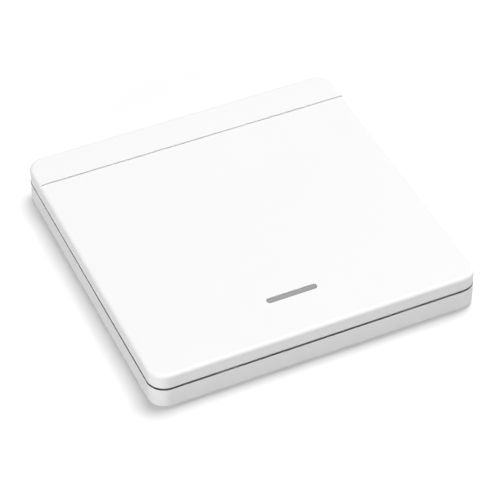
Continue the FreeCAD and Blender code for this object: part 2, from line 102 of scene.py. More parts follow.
def linear_from_hex(code):
    """An sRGB hex value as linear red, green, blue and alpha."""
    channels = [int(code[i:i + 2], 16) / 255 for i in (1, 3, 5)]
    return [c / 12.92 if c <= 0.04045 else ((c + 0.055) / 1.055) ** 2.4 for c in channels] + [1.0]


def feed(node, inputs):
    """Gives each input a value, a socket, or a node that stands for its first output."""
    for socket, given in inputs.items():
        if isinstance(given, bpy.types.Node):
            given = given.outputs[0]
        if isinstance(given, bpy.types.NodeSocket):
            node.id_data.links.new(given, node.inputs[socket])
        else:
            node.inputs[socket].default_value = given


def add_node(tree, kind, inputs=None, settings=None):
    """One node with its settings, and its inputs fed."""
    node = tree.nodes.new(kind)
    for name, value in (settings or {}).items():
        setattr(node, name, value)
    feed(node, inputs or {})
    return node


def cleared_tree(owner):
    """The empty node tree of a new material or world."""
    owner.use_nodes = True
    owner.node_tree.nodes.clear()
    return owner.node_tree


# Patterns and what they drive


def finished(describe, *details):
    """A material with one Principled shader, named for the function that describes it."""
    material = bpy.data.materials.new(describe.__name__)
    tree = cleared_tree(material)
    shader = add_node(tree, "ShaderNodeBsdfPrincipled")
    add_node(tree, "ShaderNodeOutputMaterial", {"Surface": shader})
    describe(shader, *details)
    return material


def place_mm(shader, stretch=(1.0, 1.0, 1.0), centre=(0.0, 0.0, 0.0)):
    """Object coordinates in millimetres from a centre, stretched for a pattern."""
    inputs = {
        "Vector": add_node(shader.id_data, "ShaderNodeTexCoord").outputs["Object"],
        "Location": [-c * s for c, s in zip(centre, stretch)],
        "Scale": [s / MM for s in stretch],
    }
    return add_node(shader.id_data, "ShaderNodeMapping", inputs)


def patches(shader, across_mm, detail=2.0, stretch=(1.0, 1.0, 1.0)):
    """Uneven patches about so many millimetres across."""
    inputs = {"Vector": place_mm(shader, stretch), "Scale": 1 / across_mm, "Detail": detail}
    return add_node(shader.id_data, "ShaderNodeTexNoise", inputs).outputs["Fac"]


def lines(shader, spacing_mm, direction, centre=(0.0, 0.0, 0.0)):
    """Even lines across X or Y, or rings round an upright axis through the centre."""
    settings = {"wave_type": "BANDS", "bands_direction": direction}
    if direction == "RINGS":
        settings = {"wave_type": "RINGS", "rings_direction": "Z"}
    inputs = {"Vector": place_mm(shader, centre=centre), "Scale": WAVE_PERIOD / spacing_mm}
    return add_node(shader.id_data, "ShaderNodeTexWave", inputs, settings).outputs["Fac"]


def tint(shader, pattern, low, high):
    """Base colour between two hex values by a pattern."""
    inputs = {0: pattern, 6: linear_from_hex(low), 7: linear_from_hex(high)}
    mixed = add_node(shader.id_data, "ShaderNodeMix", inputs, {"data_type": "RGBA"})
    feed(shader, {"Base Color": mixed.outputs[2]})


def gloss(shader, pattern, low, high):
    """Roughness between two values by a pattern."""
    inputs = {"Value": pattern, "To Min": low, "To Max": high}
    feed(shader, {"Roughness": add_node(shader.id_data, "ShaderNodeMapRange", inputs)})


def relief(shader, pattern, depth_mm):
    """Raised and sunk marks of a real depth by a pattern."""
    inputs = {"Height": pattern, "Strength": 1.0, "Distance": depth_mm * MM}
    feed(shader, {"Normal": add_node(shader.id_data, "ShaderNodeBump", inputs)})


# Materials, one function for each real one


def satin_white_abs(shader):
    """White ABS moulded in a satin spark-eroded tool: an even white with a broad, soft highlight.
    The grain is 0.03 mm in the real tool and drawn at 0.12 mm so that it can show."""
    feed(shader, {"IOR": ABS_IOR})
    tint(shader, patches(shader, 25.0), "#F3F3F3", "#F5F5F5")
    gloss(shader, patches(shader, 8.0), 0.47, 0.53)
    relief(shader, patches(shader, 0.12, 3.0), 0.002)


def fine_grain_white_abs(shader):
    """The same ABS in a coarser, duller tool, usual for backs: less highlight and a faint mottle."""
    feed(shader, {"IOR": ABS_IOR})
    tint(shader, patches(shader, 18.0), "#EEEEEE", "#F2F2F2")
    gloss(shader, patches(shader, 5.0), 0.48, 0.56)
    relief(shader, patches(shader, 0.2, 3.0), 0.004)


def smoky_polycarbonate(shader):
    """Grey light-diffusing polycarbonate, moulded and polished: smooth gloss over an even smoky grey."""
    feed(shader, {"IOR": POLYCARBONATE_IOR})
    tint(shader, patches(shader, 3.0), "#979797", "#9D9D9D")
    gloss(shader, patches(shader, 1.5), 0.22, 0.3)
    relief(shader, patches(shader, 0.4), 0.0005)


def green_solder_mask(shader):
    """Solder mask on woven glass epoxy: glossy green with the 0.6 mm weave of the glass just showing."""
    feed(shader, {"IOR": EPOXY_IOR, "Roughness": 0.3})
    tint(shader, patches(shader, 6.0), "#1A5A31", "#1F6638")
    warp_and_weft = {0: lines(shader, 0.6, "X"), 1: lines(shader, 0.6, "Y")}
    weave = add_node(shader.id_data, "ShaderNodeMath", warp_and_weft, {"operation": "MAXIMUM"})
    relief(shader, weave, 0.004)


def mask_over_copper(shader):
    """Solder mask where copper lies below it: a lighter, yellower green than on bare laminate."""
    feed(shader, {"IOR": EPOXY_IOR, "Roughness": 0.28})
    tint(shader, patches(shader, 2.0), "#3A8548", "#45914F")
    relief(shader, patches(shader, 0.3), 0.001)


def immersion_gold(shader):
    """Nickel under a thin immersion gold: a pale, slightly matt yellow on lands, vias and pads."""
    feed(shader, METAL)
    tint(shader, patches(shader, 0.5), "#DDBB70", "#E8CB88")
    gloss(shader, patches(shader, 0.15), 0.26, 0.38)


def bright_zinc_plate(shader):
    """Steel screws with zinc plate and clear passivation: bright, faintly blue, with cloudy stains."""
    feed(shader, METAL)
    tint(shader, patches(shader, 0.8, 3.0), "#C0C6D0", "#D2CFC6")
    gloss(shader, patches(shader, 0.25), 0.18, 0.34)
    relief(shader, patches(shader, 0.15), 0.001)


def black_nylon(shader):
    """Heat-resistant black nylon of the switch base: semi-matt, with a fine tool grain."""
    feed(shader, {"IOR": NYLON_IOR, "Roughness": 0.5})
    tint(shader, patches(shader, 2.0), "#232327", "#2A2A2E")
    relief(shader, patches(shader, 0.15, 3.0), 0.003)


def rolled_stainless(shader):
    """Stainless sheet as rolled: fine straight marks along Y, about 0.1 mm apart."""
    feed(shader, METAL)
    marks = patches(shader, 0.1, stretch=(1.0, 0.06, 1.0))
    tint(shader, marks, "#B6B7BA", "#C5C6C8")
    gloss(shader, marks, 0.22, 0.38)
    relief(shader, marks, 0.0008)


def silver_plated_brass(shader):
    """Silver-plated terminals: bright and warm, slightly clouded by tarnish."""
    feed(shader, METAL)
    tint(shader, patches(shader, 0.6, 3.0), "#CFCBC0", "#DEDDD8")
    gloss(shader, patches(shader, 0.2), 0.18, 0.32)


def polished_spring_steel(shader, centre):
    """Stainless snap dome, polished in rings by the press tool: a bright metal with fine circles."""
    feed(shader, METAL)
    rings = lines(shader, 0.15, "RINGS", centre)
    tint(shader, rings, "#BEBEC0", "#CACACC")
    gloss(shader, rings, 0.14, 0.24)


def natural_acetal(shader):
    """Unpigmented acetal of the stem: milky, waxy white with a soft gloss."""
    feed(shader, {"IOR": ACETAL_IOR, "Roughness": 0.4})
    tint(shader, patches(shader, 1.5), "#DFDCD5", "#E6E4DF")
    relief(shader, patches(shader, 0.2), 0.002)


def drawn_nickel_plate(shader, centre):
    """Nickel-plated steel can, drawn and then spun over: bright, with rings 0.25 mm apart."""
    feed(shader, METAL)
    rings = lines(shader, 0.25, "RINGS", centre)
    tint(shader, patches(shader, 4.0), "#C3C3C3", "#CDCDCC")
    gloss(shader, rings, 0.22, 0.34)
    relief(shader, rings, 0.0008)


def stippled_nickel_plate(shader):
    """Nickel-plated cell cap, embossed with a fine stipple so that a contact bites into it."""
    feed(shader, METAL)
    stipple = patches(shader, 0.35, 0.0)
    tint(shader, stipple, "#BEBEBE", "#CACACA")
    gloss(shader, stipple, 0.3, 0.42)
    relief(shader, stipple, 0.01)


def sealing_nylon(shader):
    """Grey nylon gasket of the cell, coated with sealant: dull with a few glossier spots."""
    feed(shader, {"IOR": NYLON_IOR})
    tint(shader, patches(shader, 1.0), "#7E7E78", "#8A8A84")
    gloss(shader, patches(shader, 0.6), 0.45, 0.65)


def glass_filled_nylon(shader):
    """Black nylon with glass fibre: matt, with short pale streaks where fibres reach the surface."""
    feed(shader, {"IOR": NYLON_IOR})
    streaks = patches(shader, 0.3, 4.0, stretch=(0.25, 1.0, 1.0))
    tint(shader, streaks, "#252527", "#313134")
    gloss(shader, streaks, 0.48, 0.62)
    relief(shader, patches(shader, 0.2, 3.0), 0.004)


def nickel_plated_bronze(shader):
    """Phosphor bronze strip with bright nickel: a warm, clean metal with slitting marks along X."""
    feed(shader, METAL)
    marks = patches(shader, 0.15, stretch=(0.08, 1.0, 1.0))
    tint(shader, patches(shader, 3.0), "#CAC5B7", "#D4D1C7")
    gloss(shader, marks, 0.2, 0.32)
    relief(shader, marks, 0.0008)


def clear_epoxy(shader):
    """Clear epoxy dome over a yellow phosphor: glossy, and partly clear."""
    feed(shader, {"IOR": EPOXY_IOR, "Roughness": 0.12, "Transmission Weight": 0.5})
    tint(shader, patches(shader, 0.5), "#EFEBCF", "#EDE1A4")


def black_mould_compound(shader):
    """Silica-filled black epoxy of chips: matt, with a sparkle of filler and a fine tool grain."""
    feed(shader, {"IOR": EPOXY_IOR})
    filler = patches(shader, 0.08, 4.0)
    tint(shader, filler, "#1B1B1D", "#242427")
    gloss(shader, filler, 0.52, 0.68)
    relief(shader, filler, 0.004)


def seam_welded_lid(shader):
    """Nickel-plated lid of the crystal: satin metal with faint rolling marks along Y."""
    feed(shader, METAL)
    marks = patches(shader, 0.12, stretch=(1.0, 0.1, 1.0))
    tint(shader, marks, "#C6C4BD", "#D1D0CB")
    gloss(shader, marks, 0.24, 0.36)


def white_alumina(shader):
    """Fired white ceramic of the antenna, the resistors and the light source: fine, dry and bright."""
    feed(shader, {"IOR": CERAMIC_IOR, "Roughness": 0.45})
    tint(shader, patches(shader, 0.5), "#D8DAD5", "#E2E4E0")
    relief(shader, patches(shader, 0.08, 3.0), 0.003)


def dark_alumina(shader):
    """Dark fired ceramic below the crystal's lid: matt brown-black with a fine grain."""
    feed(shader, {"IOR": CERAMIC_IOR, "Roughness": 0.55})
    tint(shader, patches(shader, 0.4), "#36322F", "#403C39")
    relief(shader, patches(shader, 0.08, 3.0), 0.003)


def yellow_epoxy(shader):
    """Moulded yellow epoxy of the bulk capacitor: warm and semi-matt, with a fine tool grain."""
    feed(shader, {"IOR": EPOXY_IOR, "Roughness": 0.5})
    tint(shader, patches(shader, 1.5), "#D49C29", "#DEA936")
    relief(shader, patches(shader, 0.15, 3.0), 0.003)


def brown_marking(shader):
    """Brown bar printed on the positive end of the bulk capacitor: flat ink, slightly uneven."""
    feed(shader, {"IOR": EPOXY_IOR, "Roughness": 0.5})
    tint(shader, patches(shader, 0.3), "#543517", "#634124")


def tan_titanate(shader):
    """Fired tan ceramic of the small capacitors: dense and slightly glossy."""
    feed(shader, {"IOR": CERAMIC_IOR, "Roughness": 0.42})
    tint(shader, patches(shader, 0.4), "#A68460", "#B4926D")
    relief(shader, patches(shader, 0.1, 3.0), 0.002)


def black_glaze(shader):
    """Black glass coat over the resistor film: smooth and glossy."""
    feed(shader, {"IOR": EPOXY_IOR, "Roughness": 0.25})
    tint(shader, patches(shader, 0.3), "#1F1F23", "#27272B")


def dull_tin(shader):
    """Tin on ends, leads and solder: a bright metal clouded by crystals about 0.2 mm across."""
    feed(shader, METAL)
    crystals = patches(shader, 0.2, 1.0)
    tint(shader, crystals, "#C4C6C8", "#D5D7D7")
    gloss(shader, crystals, 0.28, 0.46)
    relief(shader, crystals, 0.002)


# Sizes read from the CAD nodes


def span_mm(node):
    """Low and high corners of a CAD node in millimetres."""
    low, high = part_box(node)
    return low / MM, high / MM


def merged(node):
    """A bmesh of a CAD node's triangles with their shared corners merged."""
    work = bmesh.new()
    work.from_mesh(nodes[node].data)
    bmesh.ops.remove_doubles(work, verts=work.verts, dist=MERGE_DISTANCE)
    return work


def bodies_mm(node):
    """Low and high corners, in millimetres, of each separate body of a CAD node."""
    work = merged(node)
    unseen = set(work.verts)
    spans = []
    for start in work.verts:
        if start not in unseen:
            continue
        unseen.discard(start)
        reached = [start]
        for vert in reached:
            for edge in vert.link_edges:
                other = edge.other_vert(vert)
                if other in unseen:
                    unseen.discard(other)
                    reached.append(other)
        axes = list(zip(*(vert.co / MM for vert in reached)))
        spans.append((Vector([min(a) for a in axes]), Vector([max(a) for a in axes])))
    work.free()
    return sorted(spans, key=lambda span: tuple(span[0]))


def middle(span):
    """The point halfway between the two corners of a span."""
    return (span[0] + span[1]) / 2


def two_ends(span, inset):
    """Points at the foot of the two ends of a span along X, so far inside it."""
    low, high = span
    y = (low.y + high.y) / 2
    return [(low.x + inset, y, low.z), (high.x - inset, y, low.z)]


# Meshes


def linked(name, data):
    """An object in the scene with the mesh, lamp or camera given."""
    item = bpy.data.objects.new(name, data)
    bpy.context.scene.collection.objects.link(item)
    return item


def creased(mesh):
    """The mesh, shaded smooth but for its creases."""
    mesh.polygons.foreach_set("use_smooth", [True] * len(mesh.polygons))
    mesh.set_sharp_from_angle(angle=math.radians(CREASE_DEGREES))
    return mesh


def kept_mesh(source, modifiers=()):
    """A plain mesh of an object's evaluated shape; the object itself goes."""
    for kind, settings in modifiers:
        modifier = source.modifiers.new(kind.lower(), kind)
        for setting, value in settings.items():
            setattr(modifier, setting, value)
    graph = bpy.context.evaluated_depsgraph_get()
    mesh = bpy.data.meshes.new_from_object(source.evaluated_get(graph))
    seed = source.data
    bpy.data.objects.remove(source)
    bpy.data.meshes.remove(seed)
    return mesh


def rounded_edges(edge_mm):
    """The modifier that rounds the sharp edges of a piece."""
    settings = {"width": edge_mm * MM, "segments": 3, "limit_method": "ANGLE", "harden_normals": False}
    return "BEVEL", settings


def smooth_copy(node, finish):
    """A merged copy of a CAD node whose curved faces shade smoothly between its creases."""
    work = merged(node)
    mesh = bpy.data.meshes.new("copy")
    work.to_mesh(mesh)
    work.free()
    if "custom_normal" in mesh.attributes:
        mesh.attributes.remove(mesh.attributes["custom_normal"])
    mesh.materials.clear()
    mesh.materials.append(finish)
    mesh.polygons.foreach_set("material_index", [0] * len(mesh.polygons))
    return kept_mesh(linked("copy", creased(mesh)), [("WEIGHTED_NORMAL", {"keep_sharp": True})])


def drafted_block(span, inset, heights, finish, draft, edge):
    """A moulded or fired block inside a span, inset in X and Y: its sides lean in below and above its
    parting line, and its edges are rounded. Its heights are its foot, parting line and top."""
    work = bmesh.new()
    rings = []
    for z, lean in zip(heights, (draft, 0.0, draft)):
        left, front = [span[0][axis] + inset[axis] + lean for axis in (0, 1)]
        right, back = [span[1][axis] - inset[axis] - lean for axis in (0, 1)]
        corners = ((left, front), (right, front), (right, back), (left, back))
        rings.append([work.verts.new((x * MM, y * MM, z * MM)) for x, y in corners])
    work.faces.new(rings[0])
    work.faces.new(rings[-1])
    for below, above in zip(rings, rings[1:]):
        for i in range(4):
            work.faces.new((below[i], below[i - 1], above[i - 1], above[i]))
    bmesh.ops.recalc_face_normals(work, faces=work.faces)
    mesh = bpy.data.meshes.new("block")
    work.to_mesh(mesh)
    work.free()
    mesh.materials.append(finish)
    return creased(kept_mesh(linked("block", mesh), [rounded_edges(edge)]))


# Geometry node trees, which work in millimetres


def open_tree(name, sizes):
    """A geometry node tree with named inputs: the seed's lines or points, its finish and its sizes."""
    tree = bpy.data.node_groups.new(name, "GeometryNodeTree")
    tree.interface.new_socket("Seed", in_out="INPUT", socket_type="NodeSocketGeometry")
    tree.interface.new_socket("Finish", in_out="INPUT", socket_type="NodeSocketMaterial")
    for size, value in sizes.items():
        kind = "NodeSocketInt" if isinstance(value, int) else "NodeSocketFloat"
        tree.interface.new_socket(size, in_out="INPUT", socket_type=kind).default_value = value
    tree.interface.new_socket("Shape", in_out="OUTPUT", socket_type="NodeSocketGeometry")
    return tree, add_node(tree, "NodeGroupInput").outputs


def close_tree(tree, given, shape):
    """Ends a tree: instances made real, brought to metres, and their finish set."""
    real = add_node(tree, "GeometryNodeRealizeInstances", {"Geometry": shape})
    metres = add_node(tree, "GeometryNodeTransform", {"Geometry": real, "Scale": (MM, MM, MM)})
    inputs = {"Geometry": metres, "Material": given["Finish"]}
    dressed = add_node(tree, "GeometryNodeSetMaterial", inputs)
    add_node(tree, "NodeGroupOutput", {"Shape": dressed})
    return tree


def softened_lines(tree, given):
    """The seed's lines as a curve with rounded corners."""
    inputs = {
        "Curve": add_node(tree, "GeometryNodeMeshToCurve", {"Mesh": given["Seed"]}),
        "Radius": given["Corner radius"],
        "Count": given["Corner steps"],
        "Limit Radius": True,
    }
    return add_node(tree, "GeometryNodeFilletCurve", inputs, {"mode": "POLY"})


def strip_tree():
    """A flat strip along lines, bent round their corners: contacts, terminals, tracks and solder."""
    sizes = {"Corner radius": 0.2, "Corner steps": 4, "Width": 1.0, "Thickness": 0.25}
    tree, given = open_tree("strip_along_lines", sizes)
    across = {"Width": given["Width"], "Height": given["Thickness"]}
    section = add_node(tree, "GeometryNodeCurvePrimitiveQuadrilateral", across)
    inputs = {"Curve": softened_lines(tree, given), "Profile Curve": section, "Fill Caps": True}
    return close_tree(tree, given, add_node(tree, "GeometryNodeCurveToMesh", inputs))


def ring_tree():
    """A flat ring at each point: vias, lands, the chip's dimple and the marks of ejector pins."""
    sizes = {"Radius": 1.0, "Width": 0.2, "Height": 0.05, "Steps": 24}
    tree, given = open_tree("rings_on_points", sizes)
    round_shape = {"Resolution": given["Steps"], "Radius": given["Radius"]}
    circle = add_node(tree, "GeometryNodeCurvePrimitiveCircle", round_shape)
    across = {"Width": given["Width"], "Height": given["Height"]}
    section = add_node(tree, "GeometryNodeCurvePrimitiveQuadrilateral", across)
    ring = add_node(tree, "GeometryNodeCurveToMesh", {"Curve": circle, "Profile Curve": section})
    inputs = {"Points": given["Seed"], "Instance": ring}
    return close_tree(tree, given, add_node(tree, "GeometryNodeInstanceOnPoints", inputs))


def block_tree():
    """A block standing on each point: the bodies, ends and pads of the small components."""
    tree, given = open_tree("blocks_on_points", {"Length": 1.0, "Width": 1.0, "Height": 1.0})
    unit = add_node(tree, "GeometryNodeMeshCube")
    inputs = {"Geometry": unit, "Translation": (0.0, 0.0, 0.5)}
    standing = add_node(tree, "GeometryNodeTransform", inputs)
    axes = {"X": given["Length"], "Y": given["Width"], "Z": given["Height"]}
    size = add_node(tree, "ShaderNodeCombineXYZ", axes)
    inputs = {"Points": given["Seed"], "Instance": standing, "Scale": size}
    return close_tree(tree, given, add_node(tree, "GeometryNodeInstanceOnPoints", inputs))


TURNED_SIZES = {"Corner radius": 0.2, "Corner steps": 4, "Turning steps": 48}
ARRAY_SIZES = {"Columns": 1, "Rows": 1, "Array width": 0.0, "Array depth": 0.0, "X": 0.0, "Y": 0.0}


def turned(tree, given):
    """The seed's outline of radius and height turned about Z: one row of a grid for each of its points."""
    outline = softened_lines(tree, given)
    inputs = {"Geometry": outline}
    rows = add_node(tree, "GeometryNodeAttributeDomainSize", inputs, {"component": "CURVE"})
    around = add_node(tree, "ShaderNodeMath", {0: given["Turning steps"], 1: 1.0}, {"operation": "ADD"})
    grid = add_node(tree, "GeometryNodeMeshGrid", {"Vertices X": rows, "Vertices Y": around})
    inputs = {0: add_node(tree, "GeometryNodeInputIndex"), 1: around}
    rows_before = add_node(tree, "ShaderNodeMath", inputs, {"operation": "DIVIDE"})
    row = add_node(tree, "ShaderNodeMath", {0: rows_before}, {"operation": "FLOOR"})
    column = add_node(tree, "ShaderNodeMath", inputs, {"operation": "FLOORED_MODULO"})
    inputs = {0: column, 1: given["Turning steps"]}
    share = add_node(tree, "ShaderNodeMath", inputs, {"operation": "DIVIDE"})
    angle = add_node(tree, "ShaderNodeMath", {0: share, 1: 2 * math.pi}, {"operation": "MULTIPLY"})
    inputs = {"Geometry": outline, "Value": add_node(tree, "GeometryNodeInputPosition"), "Index": row}
    corner = add_node(tree, "GeometryNodeSampleIndex", inputs, {"data_type": "FLOAT_VECTOR"})
    inputs = {"Vector": corner, "Angle": angle}
    spun = add_node(tree, "ShaderNodeVectorRotate", inputs, {"rotation_type": "Z_AXIS"})
    shaped = add_node(tree, "GeometryNodeSetPosition", {"Geometry": grid, "Position": spun})
    return add_node(tree, "GeometryNodeMergeByDistance", {"Geometry": shaped, "Distance": SEAM_MM})


def repeated(tree, given, shape, turn=None):
    """The shape at each crossing of an array of columns and rows, each one turned if a turn is given."""
    inputs = {
        "Size X": given["Array width"],
        "Size Y": given["Array depth"],
        "Vertices X": given["Columns"],
        "Vertices Y": given["Rows"],
    }
    grid = add_node(tree, "GeometryNodeMeshGrid", inputs)
    centre = add_node(tree, "ShaderNodeCombineXYZ", {"X": given["X"], "Y": given["Y"]})
    moved = add_node(tree, "GeometryNodeTransform", {"Geometry": grid, "Translation": centre})
    inputs = {"Points": moved, "Instance": shape}
    if turn is not None:
        inputs["Rotation"] = turn
    return add_node(tree, "GeometryNodeInstanceOnPoints", inputs)


def turned_tree():
    """A turned shape, once or in an array: the cell, the dome, the stem and the pegs."""
    tree, given = open_tree("turned_shape", {**TURNED_SIZES, **ARRAY_SIZES})
    return close_tree(tree, given, repeated(tree, given, turned(tree, given)))


THREAD_LENGTH = 1.9
THREAD_PITCH = 0.6
THREAD_RADIUS = 0.85
THREAD_TAPER = 0.85
RECESS_DEPTH = 0.7


def screw_tree():
    """A turned screw with a cross recess and a helical thread, each one turned by its own angle."""
    sizes = {
        **TURNED_SIZES,
        **ARRAY_SIZES,
        "Recess length": 2.2,
        "Recess width": 0.5,
        "Recess cutter height": 2 * RECESS_DEPTH,
        "Head top": 5.4,
        "Thread low": 2.2,
        "Thread length": THREAD_LENGTH,
        "Thread turns": THREAD_LENGTH / THREAD_PITCH,
        "Thread start radius": THREAD_RADIUS * THREAD_TAPER,
        "Thread radius": THREAD_RADIUS,
        "Thread height": 0.12,
        "Turn seed": 3,
    }
    tree, given = open_tree("cross_recess_screw", sizes)
    body = turned(tree, given)
    head_top = add_node(tree, "ShaderNodeCombineXYZ", {"Z": given["Head top"]})
    for along_x, along_y in (("Recess length", "Recess width"), ("Recess width", "Recess length")):
        axes = {"X": given[along_x], "Y": given[along_y], "Z": given["Recess cutter height"]}
        size = add_node(tree, "ShaderNodeCombineXYZ", axes)
        arm = add_node(tree, "GeometryNodeMeshCube", {"Size": size})
        raised = add_node(tree, "GeometryNodeTransform", {"Geometry": arm, "Translation": head_top})
        inputs = {"Mesh 1": body, "Mesh 2": raised}
        body = add_node(tree, "GeometryNodeMeshBoolean", inputs, {"operation": "DIFFERENCE"})
    inputs = {
        "Resolution": 20,
        "Rotations": given["Thread turns"],
        "Start Radius": given["Thread start radius"],
        "End Radius": given["Thread radius"],
        "Height": given["Thread length"],
    }
    helix = add_node(tree, "GeometryNodeCurveSpiral", inputs)
    inputs = {"Resolution": 3, "Radius": given["Thread height"]}
    crest = add_node(tree, "GeometryNodeCurvePrimitiveCircle", inputs)
    inputs = {"Curve": helix, "Profile Curve": crest, "Fill Caps": True}
    thread = add_node(tree, "GeometryNodeCurveToMesh", inputs)
    thread_low = add_node(tree, "ShaderNodeCombineXYZ", {"Z": given["Thread low"]})
    lifted = add_node(tree, "GeometryNodeTransform", {"Geometry": thread, "Translation": thread_low})
    whole = add_node(tree, "GeometryNodeJoinGeometry", {"Geometry": body})
    feed(whole, {"Geometry": lifted})
    inputs = {0: (0.0, 0.0, 0.0), 1: (0.0, 0.0, math.pi / 2), "Seed": given["Turn seed"]}
    turn = add_node(tree, "FunctionNodeRandomValue", inputs, {"data_type": "FLOAT_VECTOR"})
    return close_tree(tree, given, repeated(tree, given, whole, turn))


STRIP = strip_tree()
RING = ring_tree()
BLOCK = block_tree()
TURNED = turned_tree()
SCREW = screw_tree()


def grown(tree, points, finish, edge=0.0, runs=(), **sizes):
    """A plain mesh of what a tree grows from a seed of points and runs of lines between them. Each size
    goes by the name of the tree's input, such as corner_radius for Corner radius."""
    seed = bpy.data.meshes.new("seed")
    edges = [pair for run in runs for pair in zip(run, run[1:])]
    seed.from_pydata(points, edges, [])
    source = linked("seed", seed)
    modifier = source.modifiers.new("grow", "NODES")
    modifier.node_group = tree
    given = {key.replace("_", " ").capitalize(): value for key, value in sizes.items()}
    given["Finish"] = finish
    for item in tree.interface.items_tree:
        if item.in_out == "INPUT" and item.name in given:
            modifier[item.identifier] = given.pop(item.name)
    if given:
        raise ValueError(f"{tree.name} has no input {sorted(given)}")
    mesh = creased(kept_mesh(source, [rounded_edges(edge)] if edge else []))
    work = bmesh.new()
    work.from_mesh(mesh)
    bmesh.ops.remove_doubles(work, verts=work.verts, dist=MERGE_DISTANCE)
    bmesh.ops.dissolve_degenerate(work, dist=MERGE_DISTANCE / 10, edges=work.edges)
    bmesh.ops.recalc_face_normals(work, faces=work.faces)
    work.to_mesh(mesh)
    work.free()
    return mesh


def along(paths, finish, edge=0.0, **sizes):
    """Strips along several paths."""
    points, runs = [], []
    for path in paths:
        runs.append(range(len(points), len(points) + len(path)))
        points += path
    return grown(STRIP, points, finish, edge, runs, **sizes)


def turned_mesh(outline, finish, tree=TURNED, **sizes):
    """A turned shape from its outline of (radius, height)."""
    points = [(radius, 0.0, height) for radius, height in outline]
    return grown(tree, points, finish, runs=[range(len(points))], **sizes)


def add_piece(name, mesh, replaced=None, body="housing"):
    """The finished piece, riding on its body; the CAD node it replaces, if one is given, is hidden."""
    mesh.name = name
    piece = linked(name, mesh)
    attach(piece, body)
    if replaced:
        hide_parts(replaced)
    return piece


# Finishes of the CAD nodes by the record's slots
cell_low, cell_high = span_mm("coin_cell_can")
cell_middle = middle((cell_low, cell_high))
stem_low, stem_high = span_mm("tact_switch_plunger")
switch_middle = middle((stem_low, stem_high))

FINISHES = {
    "key_white": finished(satin_white_abs),
    "housing_white": finished(fine_grain_white_abs),
    "lens_grey": finished(smoky_polycarbonate),
    "board_green": finished(green_solder_mask),
    "screw_zinc": finished(bright_zinc_plate),
    "switch_black": finished(black_nylon),
    "switch_steel": finished(rolled_stainless),
    "switch_terminal_silver": finished(silver_plated_brass),
    "dome_steel": finished(polished_spring_steel, switch_middle),
    "stem_white": finished(natural_acetal),
    "cell_steel": finished(drawn_nickel_plate, cell_middle),
    "cell_cap_steel": finished(stippled_nickel_plate),
    "gasket_nylon": finished(sealing_nylon),
    "holder_black": finished(glass_filled_nylon),
    "contact_nickel": finished(nickel_plated_bronze),
    "led_clear": finished(clear_epoxy),
    "chip_black": finished(black_mould_compound),
    "crystal_steel": finished(seam_welded_lid),
    "antenna_ceramic": finished(white_alumina),
    "tantalum_yellow": finished(yellow_epoxy),
    "capacitor_tan": finished(tan_titanate),
    "resistor_black": finished(black_glaze),
}
copper_track = finished(mask_over_copper)
gold_land = finished(immersion_gold)
tin_end = finished(dull_tin)
crystal_ceramic = finished(dark_alumina)
polarity_ink = finished(brown_marking)

# The record's slot that the silvered terminals and antenna conductor go by
SILVER = "switch_terminal_silver"

slots = {}
for part in frame["record"]["subparts"]:
    slots[part["node"]] = part["material_slot"]
    mesh = nodes[part["node"]].data
    mesh.materials.clear()
    mesh.materials.append(FINISHES[part["material_slot"]])

# Moulded and cut pieces keep the form of their CAD node, merged and shaded smoothly
SMOOTH_PIECES = {
    "front_key": ("key_moulding", "key"),
    "indicator_lens": ("lens_moulding", "key"),
    "rear_housing": ("housing_moulding", "housing"),
    "circuit_board": ("board_panel", "housing"),
    "battery_holder": ("holder_moulding", "housing"),
    "tact_switch_base": ("switch_base", "housing"),
    "tact_switch_cover": ("switch_cover", "housing"),
}
for node, (name, body) in SMOOTH_PIECES.items():
    add_piece(name, smooth_copy(node, FINISHES[slots[node]]), node, body)

# Ejector-pin marks inside the two mouldings, clear of their ribs
PIN_MARK = {"radius": 2.0, "width": 0.15, "height": 0.08, "steps": 32}
LENS_FLANGE = 0.8
HOUSING_FLOOR_Z = 1.4
key_roof_z = span_mm("indicator_lens")[0].z + LENS_FLANGE
key_marks = [(x, y, key_roof_z) for x in (-23.5, 23.5) for y in (-12.0, 14.0, 25.0)]
housing_marks = [(x, y, HOUSING_FLOOR_Z) for x in (-33.0, -10.0, 10.0, 33.0) for y in (-18.0, 14.0)]
for body, marks in (("key", key_marks), ("housing", housing_marks)):
    mesh = grown(RING, marks, FINISHES[body + "_white"], **PIN_MARK)
    add_piece(body + "_pin_marks", mesh, body=body)

